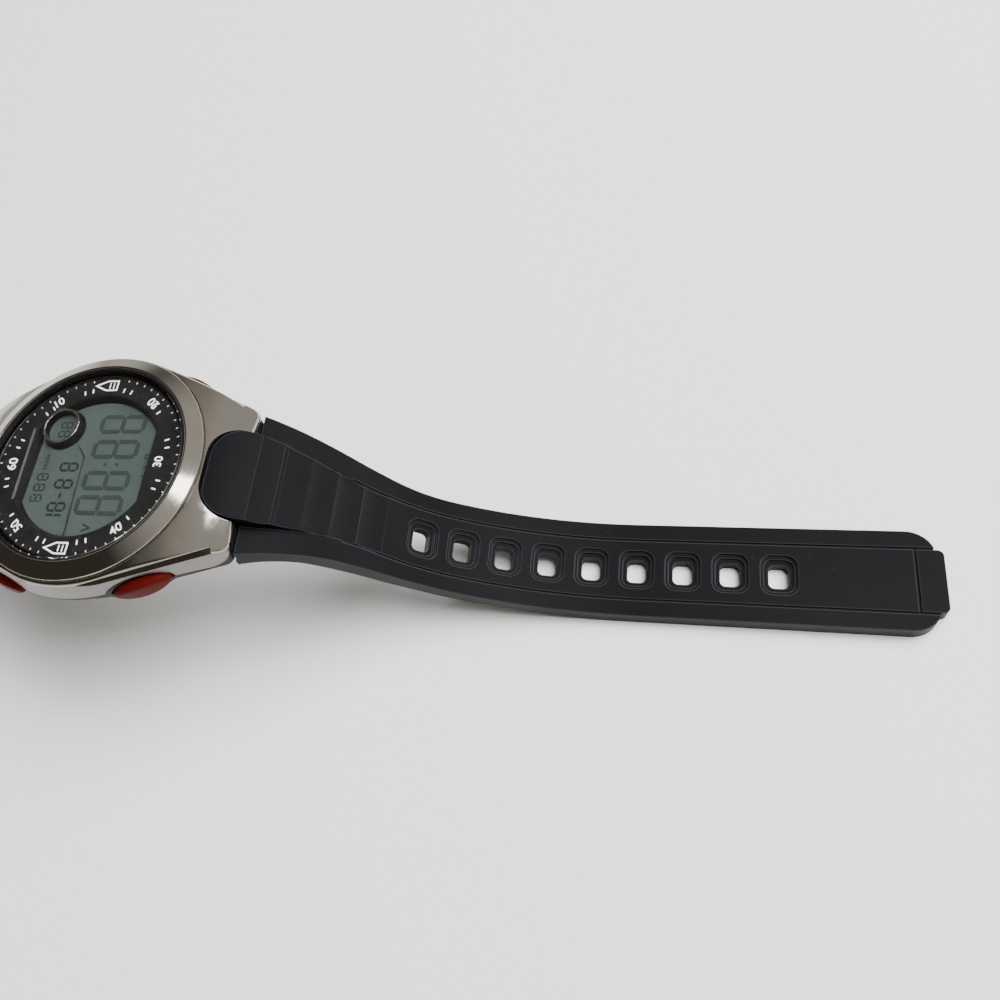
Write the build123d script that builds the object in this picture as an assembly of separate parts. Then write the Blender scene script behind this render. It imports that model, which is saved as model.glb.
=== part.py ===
from build123d import *
from math import acos, asin, atan2, cos, degrees, hypot, radians, sin, tan
import os

# Digital sports watch, lying face up on its own curved straps.
# +X points to 6 o'clock, +Y to 3 o'clock, +Z out of the glass.
# The origin is the centre of the case back's outer face.

os.makedirs("parts", exist_ok=True)

# Clearances shared by all pieces
overrun = 3.0                 # how far a cutting tool runs past the face it cuts
seat_gap = 0.05               # between two fixed pieces that are assembled together
running_gap = 0.08            # radial, round a pin or a stem
moving_gap = 0.25             # between pieces that swing or slide past each other
match_gap = 0.001             # corners nearer than this are the same corner

# Case outline, seen from above
case_radius = 21.3
lug_reach = 26.1              # centre to the end of a lug
lug_half_width = 12.9
lug_corner_radius = 2.0
flank_draft = 6.0             # degrees that the side leans in towards the glass
case_height = 12.6            # case back to bezel rim
case_floor = 0.35             # underside of the resin case

# Metal top shell
shell_top = 10.85             # seat of the bezel and the glass
shell_wall = 1.5
shell_bore = 16.6
dome_start_radius = 20.45
dome_start_slope = 18.0       # degrees below level at the bezel
dome_radius = 34.0
crown_round = 0.8             # along the top of the flanks
shell_roof = 1.3              # thickness of the shell's top, measured upright
skin_gap = 0.15               # resin case set back from the shell's side
band_edge_middle = 6.55       # lower edge of the shell's side at 3 and 9 o'clock
band_edge_lug = 2.7           # and at the ends of the lugs
shell_end_radius = 3.2        # lower corner of each lug, seen from the side
scallop_depth = 0.87          # notch along the top of each flank, over the button
scallop_height = 2.93         # its lower edge above the button's axis
scallop_slope = 45.0          # degrees of its floor
scallop_lean = 28.0           # degrees that its upper wall hangs over
scallop_fall = 5.5            # degrees that it falls towards the lug
scallop_back_reach = 12.8     # from the button towards the middle of the case
scallop_lug_reach = 11.9      # and towards the lug, where it ends square

# Bezel ring, glass and gasket
bezel_outer_radius = 20.3
bezel_under_step = 0.15       # shadow line between the ring and the shell
bezel_bore = 17.65
bezel_rim_width = 0.3
bezel_outer_height = 0.45     # plain edge under the cone
crystal_thickness = 1.55
crystal_edge_chamfer = 0.2
gasket_wall = 0.45

# Resin inner case
case_bore = 15.3
base_radius = 18.7            # round foot that carries the case back
hull_height = 2.7             # underside at the outer edge of the lugs
hull_slope = 20.0             # degrees it rises towards 3 and 9 o'clock
lug_rise_length = 4.4         # the underside rises to the lugs over this length
back_seat = 1.2               # level that the case back closes against
lug_end_radius = 1.8          # round the spring bar
notch_relief = 1.2            # above the spring bar, square corners for the swinging tongue

# Case back, its seal and screws
back_radius = 18.4
back_edge_chamfer = 0.35
seal_radius = 15.95
seal_thickness = 0.6
back_screw_circle_radius = 17.2
back_screw_count = 4
back_screw_head_radius = 0.85
back_screw_head_height = 0.45
back_screw_head_sink = 0.1
back_screw_radius = 0.5
back_screw_length = 2.6
back_screw_slot_width = 0.25
back_screw_slot_depth = 0.2

# Dial ring over the display
dial_radius = 16.5
dial_thickness = 0.6
dial_underside = 10.0
window_radius = 12.9
window_half_length = 11.1     # the round window is cut off straight at 12 and 6
window_slope = 0.6            # how far its wall leans in
window_lip = 0.25             # its wall at the top, below the ring
display_gap = 0.05            # window wall to the display

# Seconds window, a small tube standing on the display
sub_x = -6.9
sub_y = 7.1
sub_radius = 3.3
sub_wall = 0.35
sub_top = 10.65
sub_foot_radius = 3.8
sub_rim = 0.12                # bright ring on the tube

# Liquid crystal display, an eight-sided glass sandwich
lcd_half_x = 11.3
lcd_half_y = 12.7
lcd_corner = 4.4
lcd_top = 9.25
lcd_thickness = 1.35
segment_thickness = 0.03
backlight_thickness = 0.4
backlight_gap = 0.15
lcd_ledge = 0.7               # under the display's ends at 3 and 9 o'clock

# Digits: middles towards 3 o'clock and 6 o'clock, then length, width and stroke
time_ys = (-6.75, -2.35, 3.4, 8.15)
time_x = 3.75
time_size = (8.6, 3.6, 0.8)
date_ys = (-9.3, -7.2, -3.05, 0.1)
date_x = -3.9
date_size = (3.5, 1.75, 0.42)
day_ys = (-5.7, -3.75, -1.8)
day_x = -8.25
day_size = (2.2, 1.4, 0.26)
sub_digit_ys = (6.35, 8.05)
sub_digit_size = (2.3, 1.3, 0.26)
segment_gap = 0.06
colon_y = 0.6
colon_half_space = 1.05
colon_dot = 0.6
dash_y = -5.15
dash_length = 0.9

# Electronics
holder_radius = 15.1
holder_floor = 1.6
board_bottom = 3.2
board_thickness = 0.8
board_radius = 14.8
zebra_half_length = 7.4
zebra_width = 1.5
zebra_inset = 0.75            # from the display's edge to the strip's middle
cell_radius = 10.0
cell_x = 3.2
cell_thickness = 1.6
cell_can_step = 0.35
clip_thickness = 0.2
clip_width = 5.0
clip_half_length = 13.0
chip_size = 5.0
chip_height = 0.9
quartz_radius = 0.75
quartz_length = 5.8
quartz_x = -6.0
piezo_radius = 6.6
piezo_x = -7.4
piezo_thickness = 0.14
piezo_spring_radius = 0.6
piezo_spring_wall = 0.15
piezo_spring_place = -12.2    # towards 12 o'clock
contact_thickness = 0.15
contact_width = 1.9
contact_height = 2.3
contact_foot = 1.1
holder_notch_half = 1.75      # round each stem and its clip

# Push buttons, one on each corner of the case
button_offset = 4.8           # along the flank, from the foot of its normal
button_height = 5.4
button_half_length = 4.85
button_half_height = 1.85
button_proud = 1.4            # crown of the cap above the flank
button_crown_radius = 15.0
button_edge_round = 0.75
button_body = 1.7             # cap thickness at the crown
button_travel = 0.85
pocket_margin = 0.3
arch_half_length = 5.6
arch_half_height = 2.55
arch_shift = 0.35             # its middle lies this far from the button's, off the lug
arch_tilt = 6.0               # degrees it falls towards the lug
boss_margin = 0.9             # resin round each button, beyond the cap
stem_radius = 0.8
stem_socket_depth = 0.7
stem_end = 14.25              # inner end of the stem, from the watch's axis
spot_face = 14.95             # flat that the clip pulls up to
spot_face_radius = 1.9
clip_ring_radius = 1.35
clip_ring_thickness = 0.25
clip_groove_depth = 0.2
oring_section = 0.5
oring_place = 16.5
spring_coil_radius = 1.15
clip_opening = 0.9
spring_seat = 18.3
spring_bore = 1.5
spring_wall = 0.22            # the coils drawn as one sleeve

# Lug spring bars
hinge_height = 4.5
bar_radius = 0.85
bar_tip_radius = 0.5
bar_tip_reach = 9.0           # middle of the bar to the end of its tip
bar_body_half = 6.7

# Strap profile: the top surface as arcs and straights from the lug down
strap_thickness = 2.6
barrel_radius = 1.7           # round the spring bar
tongue_overhang = 1.8         # the tongue reaches this far past it, towards the bezel
wing_lip = 0.4                # the wings' lower edge reaches under the lugs
tongue_top_height = 9.85      # height of the moulded tongue at the case
tongue_slope = 8.6            # degrees below level there
crest_radius = 21.8
crest_turn = 29.7
shoulder_radius = 66.7
shoulder_turn = 8.0
drop_length = 10.9
sweep_radius = 33.4
sweep_turn = 21.9
foot_radius = 66.5
long_flat_length = 42.7
short_foot_radius = 30.0
short_flat_length = 21.0

# Strap in plan
strap_half_width = 8.0
wing_half_width = 12.4        # beside the lugs
wing_taper_length = 17.45     # from the lug to where the taper would meet the straight part
wing_blend_radius = 70.0
wing_join_length = 3.0        # down the straight to where they are flush with the panel
wing_top_radius = 32.0        # seen from the side
wing_top_turn = 33.0
wing_under_radius = 15.3
wing_under_turn = 43.0
tongue_half_width = 7.55
tongue_corner_radius = 4.8
tongue_straight_length = 7.2  # from the tongue's front
tongue_taper_length = 20.6
tongue_blend_radius = 24.0
panel_half_width = 5.0
tip_panel_proud = 1.0
tip_corner_radius = 4.0
tip_panel_corner_radius = 0.9
tip_panel_length = 6.0
groove_width = 0.35
groove_depth = 0.4
tip_groove_inset = 3.8        # tip of the middle panel to its cross groove
rib_count = 5
rib_first_distance = 9.4      # along the top surface from the tongue's front
rib_pitch = 4.75
rib_depth = 0.24

# Strap holes
hole_count = 9
hole_pitch = 7.0
hole_tip_distance = 22.5
hole_length = 2.9
hole_width = 3.9
hole_corner = 0.9
recess_length = 5.3
recess_width = 6.6
recess_corner = 1.7
recess_depth = 0.45
recess_step_length = 4.3
recess_step_width = 5.4
recess_step_corner = 1.3
recess_step_depth = 0.9

# Keepers on the short strap
keeper_wall = 1.1
keeper_slot_height = 3.1      # room above the strap for the long strap
fixed_keeper_width = 4.2
fixed_keeper_inset = 6.3      # from the buckle bar to the keeper's middle
free_keeper_width = 5.6
free_keeper_inset = 14.9
keeper_side_gap = 0.35
keeper_under_gap = 0.2
keeper_corner_radius = 0.8

# Buckle
buckle_bar_radius = 0.75
strap_eye_radius = 1.75
buckle_tip_radius = 0.45
buckle_tip_depth = 1.4
tongue_slot_width = 3.2
buckle_half_width = 10.4
buckle_side = 2.0
buckle_length = 10.6          # bar to the middle of the front rail
buckle_thickness = 2.2
buckle_rail_width = 2.4
prong_notch_depth = 0.3
buckle_corner_radius = 2.4
prong_thickness = 1.3
prong_width = 1.7
prong_eye_radius = 1.45
prong_eye_width = 2.6
prong_overhang = 0.3
prong_edge_round = 0.35
prong_back_room = 1.0         # free slot behind the prong when it folds past square




def save(shape, node, color):
    """Writes one piece to its STEP file."""
    shape.label = node
    shape.color = Color(color)
    export_step(shape, f"parts/{node}.step")


def disc(radius, low, high):
    """Plain disc about the watch's axis."""
    return extrude(Pos(0, 0, low) * Circle(radius), high - low)


def ring(outer, inner, low, high):
    """Flat ring about the watch's axis."""
    return extrude(Pos(0, 0, low) * (Circle(outer) - Circle(inner)), high - low)


def slab(x_from, x_to, y_from, y_to, low, high):
    """Box between two corners."""
    size = (x_to - x_from, y_to - y_from, high - low)
    middle = ((x_from + x_to) / 2, (y_from + y_to) / 2, (low + high) / 2)
    return Pos(*middle) * Box(*size)


def cross_rod(radius, x, height, reach):
    """Round bar across the watch, parallel to the spring bars."""
    return extrude(Plane.XZ * Pos(x, height) * Circle(radius), reach, both=True)


def side_profile(edges, half_width):
    """Closed outline in the X-Z plane, made solid across the watch."""
    return extrude(Plane.XZ * make_face(edges), half_width, both=True)


def both_ends(shape):
    """A piece at 6 o'clock and its mirror image at 12 o'clock."""
    return shape + mirror(shape, Plane.YZ)


def plan_outline(corners):
    """Symmetric outline from corners: x, half width and rounding of each."""
    right = [(x, half) for x, half, _ in corners]
    left = [(x, -half) for x, half, _ in reversed(corners)]
    face = make_face(Polyline(*right, *left, close=True))
    for x, half, radius in corners:
        here = [
            vertex
            for vertex in face.vertices()
            if hypot(vertex.X - x, abs(vertex.Y) - half) < match_gap
        ]
        if radius > 0:
            face = fillet(here, radius)
    return face


def eight_sided(half_x, half_y, corner, low, high):
    """Flat plate with its four corners cut off."""
    face = chamfer(Rectangle(2 * half_x, 2 * half_y).vertices(), corner)
    return extrude(Pos(0, 0, low) * face, high - low)


# Case outline: a round body whose flanks run straight to four lug corners
corner_x = lug_reach - lug_corner_radius
corner_y = lug_half_width - lug_corner_radius
flank_normal = atan2(corner_y, corner_x) + acos(
    (case_radius - lug_corner_radius) / hypot(corner_x, corner_y)
)
hinge_x = lug_reach - lug_end_radius
block_top = shell_top + overrun


def case_face(inset):
    """The outline set in by inset, as arcs about five fixed centres."""
    turn = degrees(flank_normal)
    outer = case_radius - inset
    corner = lug_corner_radius - inset
    arcs = [
        CenterArc((corner_x, corner_y), corner, 0, turn),
        CenterArc((0, 0), outer, turn, 180 - 2 * turn),
        CenterArc((-corner_x, corner_y), corner, 180 - turn, turn),
        CenterArc((-corner_x, -corner_y), corner, 180, turn),
        CenterArc((0, 0), outer, 180 + turn, 180 - 2 * turn),
        CenterArc((corner_x, -corner_y), corner, -turn, turn),
    ]
    following = arcs[1:] + arcs[:1]
    lines = [Line(arc @ 1, after @ 0) for arc, after in zip(arcs, following)]
    return make_face(arcs + lines)


def case_prism(inset, low, high):
    """Case body between two heights: upright below, leaning in above the band."""
    base = Pos(0, 0, band_edge_middle) * case_face(inset)
    body = extrude(base, high - band_edge_middle, taper=flank_draft)
    return body + extrude(base, low - band_edge_middle)


def dome_solid(drop):
    """Round dome that bounds the case from above, lowered by drop."""
    slope = radians(dome_start_slope)
    start = (dome_start_radius, shell_top - drop)
    run = hypot(lug_reach, lug_half_width) + overrun - dome_start_radius
    turn = degrees(asin(sin(slope) + run / dome_radius)) - dome_start_slope
    arc = JernArc(start, (cos(slope), -sin(slope)), dome_radius, -turn)
    rim = arc @ 1
    low = case_floor - overrun
    edges = [
        Line((0, low), (0, shell_top - drop)),
        Line((0, shell_top - drop), start),
        arc,
        Line(rim, (rim.X, low)),
        Line((rim.X, low), (0, low)),
    ]
    return revolve(Plane.XZ * make_face(edges), Axis.Z)


# Notch between two lugs, round the strap's tongue
strap_front = hinge_x - barrel_radius - tongue_overhang
notch_plan = plan_outline([
    (strap_front - moving_gap, tongue_half_width + moving_gap, tongue_corner_radius + moving_gap),
    (lug_reach + overrun, tongue_half_width + moving_gap, 0),
])
notch_height = case_height + 2 * overrun
notches = both_ends(extrude(Pos(0, 0, case_floor - overrun) * notch_plan, notch_height))


def band_cover(margin):
    """Everything above the lower edge of the shell's side, round at the lugs' ends."""
    reach = lug_reach + margin
    left = (-reach, band_edge_lug - margin)
    right = (reach, band_edge_lug - margin)
    edges = [
        ThreePointArc(left, (0, band_edge_middle - margin), right),
        Line(right, (reach, block_top)),
        Line((reach, block_top), (-reach, block_top)),
        Line((-reach, block_top), left),
    ]
    face = make_face(edges)
    lower = face.vertices().group_by(Axis.Y)[0]
    face = fillet(lower, shell_end_radius + margin)
    return extrude(Plane.XZ * face, reach, both=True)


# Buttons: one local frame at each corner, +X outwards along the push
corner_signs = {"2": (-1, 1), "4": (1, 1), "8": (1, -1), "10": (-1, -1)}


def button_frame(signs):
    """Place of a button: at the foot of the flank's normal, facing out."""
    sx, sy = signs
    foot_x = sx * button_offset * sin(flank_normal)
    foot_y = -sy * button_offset * cos(flank_normal)
    turn = degrees(atan2(sy * sin(flank_normal), sx * cos(flank_normal)))
    return Pos(foot_x, foot_y, button_height) * Rot(0, 0, turn)


def at_buttons(shape):
    """The same piece at one button and mirrored to the other three; +Y is lugwards."""
    first = button_frame(corner_signs["8"]) * shape
    across = mirror(first, Plane.XZ)
    return [first, across, mirror(first, Plane.YZ), mirror(across, Plane.YZ)]


def rod(radius, start, end):
    """Round bar along a button's push axis."""
    return extrude(Plane.YZ.offset(start) * Circle(radius), end - start)


def oval(half_length, half_height, start, end):
    """Oval bar along a button's push axis."""
    return extrude(Plane.YZ.offset(start) * Ellipse(half_length, half_height), end - start)


def arch(margin):
    """Arched opening in the flank over a button, open downwards."""
    inner = case_bore + moving_gap
    outer = case_radius + overrun
    half_length = arch_half_length - margin
    low = 2 * arch_half_height
    face = Ellipse(half_length, arch_half_height - margin)
    face += Pos(0, -low / 2) * Rectangle(2 * half_length, low)
    face = Pos(-arch_shift, 0) * Rot(0, 0, -arch_tilt) * face
    return extrude(Plane.YZ.offset(inner) * face, outer - inner)


def scallop():
    """Notch along the top of a flank: a sloping floor under an overhanging wall."""
    lean = radians(scallop_lean)
    slope = radians(scallop_slope)
    inner = case_radius - scallop_depth
    edge = (case_radius, scallop_height)
    apex = (inner, scallop_height + scallop_depth * tan(slope))
    top = apex[1] + overrun
    outer = case_radius + overrun
    points = [
        apex,
        (inner + overrun * tan(lean), top),
        (outer, top),
        (outer, scallop_height - overrun * tan(slope)),
        edge,
    ]
    face = make_face(Polyline(*points, close=True))
    length = scallop_back_reach + scallop_lug_reach
    notch = extrude(Plane.XZ.offset(-scallop_lug_reach) * face, length)
    return Rot(-scallop_fall, 0, 0) * notch


# Metal top shell: side walls, domed lugs, seat for the bezel
shell = case_prism(0, case_floor, block_top) & dome_solid(0)
shell = fillet(shell.edges().filter_by(GeomType.BSPLINE), crown_round)
cavity = case_prism(shell_wall, case_floor - overrun, block_top) & dome_solid(shell_roof)
shell -= cavity
shell -= disc(shell_bore, case_floor, block_top)
shell &= band_cover(0)
shell -= notches
shell -= at_buttons(arch(0))
shell -= at_buttons(scallop())
bar_hole = cross_rod(bar_tip_radius + seat_gap, hinge_x, hinge_height, bar_tip_reach + seat_gap)
bar_holes = both_ends(bar_hole)
shell -= bar_holes
save(shell, "case_shell", "#7f7c78")

# Inner case of resin: fills the shell and shows below it and round the buttons
core = case_prism(shell_wall + seat_gap, case_floor, block_top)
core &= dome_solid(shell_roof + seat_gap)
skirt = case_prism(skin_gap, case_floor, block_top) - band_cover(seat_gap)
arch_top = button_height + arch_half_height + overrun
surrounds = case_prism(skin_gap, case_floor, arch_top) & (Part() + at_buttons(arch(seat_gap)))
neck = disc(shell_bore - seat_gap, back_seat, dial_underside)
inner_case = core + skirt + surrounds + neck

# Its underside from the front: a keel shape, with a round foot and the button bosses
hull_reach = case_radius + overrun
hull_rise = (hull_reach - lug_half_width) * tan(radians(hull_slope))
hull_fall = lug_half_width * tan(radians(hull_slope))
hull_face = make_face(Polyline(
    (0, hull_height - hull_fall),
    (hull_reach, hull_height + hull_rise),
    (hull_reach, block_top),
    (-hull_reach, block_top),
    (-hull_reach, hull_height + hull_rise),
    close=True,
))
kept = extrude(Plane.YZ * hull_face, lug_reach, both=True)
kept += disc(base_radius, case_floor, block_top)
boss = oval(
    button_half_length + boss_margin,
    button_half_height + boss_margin,
    case_bore + moving_gap,
    case_radius + overrun,
)
kept += at_buttons(boss)
inner_case &= kept

# And from the side: flat in the middle, rising to round ends at the spring bars
rise_z = hinge_height - case_floor
rise_angle = atan2(rise_z, lug_rise_length) - asin(lug_end_radius / hypot(lug_rise_length, rise_z))
rise_start = (hinge_x - lug_rise_length, case_floor)
lug_foot = (
    hinge_x + lug_end_radius * sin(rise_angle),
    hinge_height - lug_end_radius * cos(rise_angle),
)
half_rise = rise_angle / 2
lug_bend = (
    hinge_x + lug_end_radius * cos(half_rise),
    hinge_height - lug_end_radius * sin(half_rise),
)
case_side = [
    Line((0, case_floor), rise_start),
    Line(rise_start, lug_foot),
    ThreePointArc(lug_foot, lug_bend, (lug_reach, hinge_height)),
    Line((lug_reach, hinge_height), (lug_reach, block_top)),
    Line((lug_reach, block_top), (0, block_top)),
    Line((0, block_top), (0, case_floor)),
]
inner_case &= both_ends(side_profile(case_side, lug_reach))
inner_case -= notches
relief_front = strap_front - moving_gap
relief_half = tongue_half_width + moving_gap
relief_high = hinge_height + notch_relief
relief = slab(relief_front, lug_reach, -relief_half, relief_half, case_floor - overrun, relief_high)
inner_case -= both_ends(relief)
inner_case -= disc(case_bore, case_floor - overrun, block_top)
inner_case -= disc(back_radius + seat_gap, case_floor - overrun, back_seat)
seal_low = back_seat - seat_gap
seal_high = back_seat + seal_thickness
half_seal = seal_thickness / 2
seal_room = half_seal + seat_gap
inner_case -= ring(seal_radius + seal_room, seal_radius - seal_room, seal_low, seal_high)

# Its holes: spring bars, case back screws and the four buttons
inner_case -= bar_holes
back_screws_at = PolarLocations(back_screw_circle_radius, back_screw_count, 45)
screw_hole = Cylinder(
    back_screw_radius + seat_gap,
    back_screw_length + overrun,
    align=(Align.CENTER, Align.CENTER, Align.MAX),
)
screw_depth = back_screw_head_sink + back_screw_length + seat_gap
inner_case -= [place * Pos(0, 0, screw_depth) * screw_hole for place in back_screws_at]

button_crown = case_radius + button_proud
button_back = button_crown - button_body
pocket_floor = button_back - button_travel - seat_gap
gland_radius = stem_radius + running_gap + oring_section + seat_gap
gland_half = oring_section / 2 + seat_gap
button_cuts = oval(
    button_half_length + pocket_margin,
    button_half_height + pocket_margin,
    pocket_floor,
    case_radius + overrun,
)
button_cuts += rod(spring_bore, spring_seat, pocket_floor + overrun)
button_cuts += rod(stem_radius + running_gap, stem_end - overrun, spring_seat + overrun)
button_cuts += rod(gland_radius, oring_place - gland_half, oring_place + gland_half)
button_cuts += rod(spot_face_radius, stem_end - overrun, spot_face)
inner_case -= at_buttons(button_cuts)
save(inner_case, "inner_case", "#17181a")

# Bezel ring: a plain edge, a cone and a fine rim round the glass
bezel_low = shell_top + bezel_under_step
bezel_points = [
    (bezel_bore, shell_top),
    (bezel_outer_radius - bezel_under_step, shell_top),
    (bezel_outer_radius - bezel_under_step, bezel_low),
    (bezel_outer_radius, bezel_low),
    (bezel_outer_radius, bezel_low + bezel_outer_height),
    (bezel_bore + bezel_rim_width, case_height),
    (bezel_bore, case_height),
]
bezel_face = make_face(Polyline(*bezel_points, close=True))
save(revolve(Plane.XZ * bezel_face, Axis.Z), "bezel_ring", "#9c9994")

# Glass and the gasket ring that holds it in the bezel
crystal_radius = bezel_bore - gasket_wall
crystal_top = shell_top + crystal_thickness
crystal = disc(crystal_radius, shell_top, crystal_top)
crystal = chamfer(crystal.edges().group_by(Axis.Z)[-1], crystal_edge_chamfer)
save(crystal, "crystal", "#c9d2d6")
save(ring(bezel_bore, crystal_radius, shell_top, crystal_top), "crystal_gasket", "#202124")

# Dial ring: black, with a round window cut off straight at 12 and 6
def window_plan(margin):
    """Outline of the window, widened by margin."""
    across = 2 * (window_radius + margin)
    return Circle(window_radius + margin) & Rectangle(2 * (window_half_length + margin), across)


lip_foot = lcd_top + display_gap
dial_top = dial_underside + dial_thickness
window_height = dial_top - lip_foot
window_taper = degrees(atan2(window_slope, window_height))
dial_ring = disc(dial_radius, dial_underside, dial_top)
dial_ring += extrude(Pos(0, 0, lip_foot) * window_plan(window_lip), dial_underside - lip_foot)
window_cut = extrude(Pos(0, 0, dial_top) * window_plan(0), -window_height, taper=window_taper)
dial_ring -= window_cut

# Seconds window: a tube moulded on the dial ring, with a bright rim
sub_outer = sub_radius
sub_inner = sub_radius - sub_wall
tube_face = make_face(Polyline(
    (0, lip_foot), (sub_foot_radius, lip_foot), (sub_outer, sub_top), (0, sub_top), close=True
))
dial_ring += Pos(sub_x, sub_y, 0) * revolve(Plane.XZ * tube_face, Axis.Z)
dial_ring -= Pos(sub_x, sub_y, 0) * disc(sub_inner, lip_foot - overrun, sub_top + overrun)
save(dial_ring, "dial_ring", "#1b1c1e")
rim_top = sub_top + sub_rim
save(Pos(sub_x, sub_y, 0) * ring(sub_outer, sub_inner, sub_top, rim_top), "seconds_rim", "#c4c4c2")

# Display glass and its segments
lcd_low = lcd_top - lcd_thickness
lcd_panel = eight_sided(lcd_half_x, lcd_half_y, lcd_corner, lcd_low, lcd_top)
save(lcd_panel, "lcd_panel", "#767e76")


def segment(length, stroke):
    """One segment, along X, with pointed ends."""
    end = length / 2 - segment_gap
    side = stroke / 2
    points = [(end, 0), (end - side, side), (side - end, side)]
    points += [(-end, 0), (side - end, -side), (end - side, -side)]
    return make_face(Polyline(*points, close=True))


def digit(x, y, size, drawn="abcdefg"):
    """Seven-segment figure, its top towards 12 o'clock."""
    length, width, stroke = size
    half = (length - stroke) / 2
    side = (width - stroke) / 2
    upright = segment(half, stroke)
    level = Rot(0, 0, 90) * segment(width - stroke, stroke)
    places = {
        "a": Pos(-half, 0) * level,
        "b": Pos(-half / 2, side) * upright,
        "c": Pos(half / 2, side) * upright,
        "d": Pos(half, 0) * level,
        "e": Pos(half / 2, -side) * upright,
        "f": Pos(-half / 2, -side) * upright,
        "g": level,
    }
    return [Pos(x, y) * places[name] for name in drawn]


figures = []
for y in time_ys:
    figures += digit(time_x, y, time_size)
figures += digit(date_x, date_ys[0], date_size, "bc")
for y in date_ys[1:]:
    figures += digit(date_x, y, date_size)
for y in day_ys:
    figures += digit(day_x, y, day_size)
for y in sub_digit_ys:
    figures += digit(sub_x, y, sub_digit_size)
for x in (time_x - colon_half_space, time_x + colon_half_space):
    figures.append(Pos(x, colon_y) * Rectangle(colon_dot, colon_dot))
figures.append(Pos(date_x, dash_y) * Rectangle(date_size[2], dash_length))
segments = [Pos(0, 0, lcd_top) * extrude(face, segment_thickness) for face in figures]
save(Compound(children=segments), "lcd_segments", "#2a2f2c")

# Lighting panel and the two rubber strips that feed the display
light_top = lcd_low - backlight_gap
light_half_x = lcd_half_x - zebra_width - moving_gap
light_half_y = lcd_half_y - lcd_ledge - moving_gap
light_low = light_top - backlight_thickness
backlight = eight_sided(light_half_x, light_half_y, lcd_corner, light_low, light_top)
save(backlight, "backlight_panel", "#cfd8d2")
board_top = board_bottom + board_thickness
strip_outer = lcd_half_x - zebra_inset + zebra_width / 2
strip = slab(
    strip_outer - zebra_width, strip_outer,
    -zebra_half_length, zebra_half_length, board_top, lcd_low,
)
save(Compound(children=[strip, mirror(strip, Plane.YZ)]), "zebra_connectors", "#3a3b3d")

# Plastic frame that locates the display on the board
lcd_holder = disc(holder_radius, board_top, dial_underside)
lip_room = extrude(Pos(0, 0, lcd_low) * window_plan(window_lip + seat_gap), overrun + lcd_thickness)
lcd_room = eight_sided(lcd_half_x + seat_gap, lcd_half_y + seat_gap, lcd_corner, lcd_low, block_top)
lip_room &= disc(holder_radius, lcd_top, block_top)
under_room = eight_sided(lcd_half_x + seat_gap, lcd_half_y - lcd_ledge, lcd_corner, 0, block_top)
lcd_holder -= [lip_room, lcd_room, under_room]
notch_low = board_top - button_height - seat_gap
stem_notch = slab(
    stem_end - overrun, holder_radius + overrun,
    -holder_notch_half, holder_notch_half,
    notch_low, holder_notch_half,
)
lcd_holder -= at_buttons(stem_notch)
save(lcd_holder, "lcd_holder", "#dcdcd6")

# Circuit board with its chip, quartz and switch leaves
save(disc(board_radius, board_bottom, board_top), "circuit_board", "#2f5d3a")
half_chip = chip_size / 2
chip = slab(-half_chip, half_chip, -half_chip, half_chip, board_top, board_top + chip_height)
save(chip, "timer_chip", "#151515")
quartz_low = Plane.XZ.offset(-quartz_length / 2) * Pos(quartz_x, board_top + quartz_radius)
save(extrude(quartz_low * Circle(quartz_radius), quartz_length), "quartz_can", "#b9bab8")
leaf_face = stem_end - button_travel - seat_gap
leaf_low = board_top - button_height
leaf_half = contact_width / 2
leaf_top = leaf_low + contact_height
leaf = slab(leaf_face - contact_thickness, leaf_face, -leaf_half, leaf_half, leaf_low, leaf_top)
foot_top = leaf_low + contact_thickness
leaf += slab(leaf_face - contact_foot, leaf_face, -leaf_half, leaf_half, leaf_low, foot_top)
save(Compound(children=at_buttons(leaf)), "button_contacts", "#c9b27a")

# Coin cell, its clip and the plastic ring round it
cell_low = board_bottom - cell_thickness
cell_can = Pos(cell_x, 0, cell_low) * extrude(Circle(cell_radius), cell_thickness - cell_can_step)
cell_lid = Pos(cell_x, 0, cell_low) * extrude(Circle(cell_radius - 2 * cell_can_step), cell_thickness)
save(cell_can + cell_lid, "coin_cell", "#b4b5b3")
half_clip = clip_width / 2
clip_low = holder_floor - clip_thickness
clip = slab(
    cell_x - half_clip, cell_x + half_clip,
    -clip_half_length, clip_half_length, clip_low, holder_floor,
)
save(clip, "battery_clip", "#c2c2c0")
battery_holder = disc(holder_radius, holder_floor, board_bottom)
battery_holder -= Pos(cell_x, 0, 0) * disc(cell_radius + seat_gap, 0, board_bottom)
spring_room = disc(piezo_spring_radius + seat_gap, 0, board_bottom)
battery_holder -= Pos(piezo_spring_place, 0, 0) * spring_room
save(battery_holder, "battery_holder", "#e2e2dc")

# Sounder on the case back, with its contact spring up to the board
piezo_top = back_seat + piezo_thickness
save(Pos(piezo_x, 0, 0) * disc(piezo_radius, back_seat, piezo_top), "piezo_disc", "#c8a95a")
spring_inner = piezo_spring_radius - piezo_spring_wall
sounder_spring = ring(piezo_spring_radius, spring_inner, piezo_top, board_bottom)
save(Pos(piezo_spring_place, 0, 0) * sounder_spring, "piezo_spring", "#c4a45c")

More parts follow.
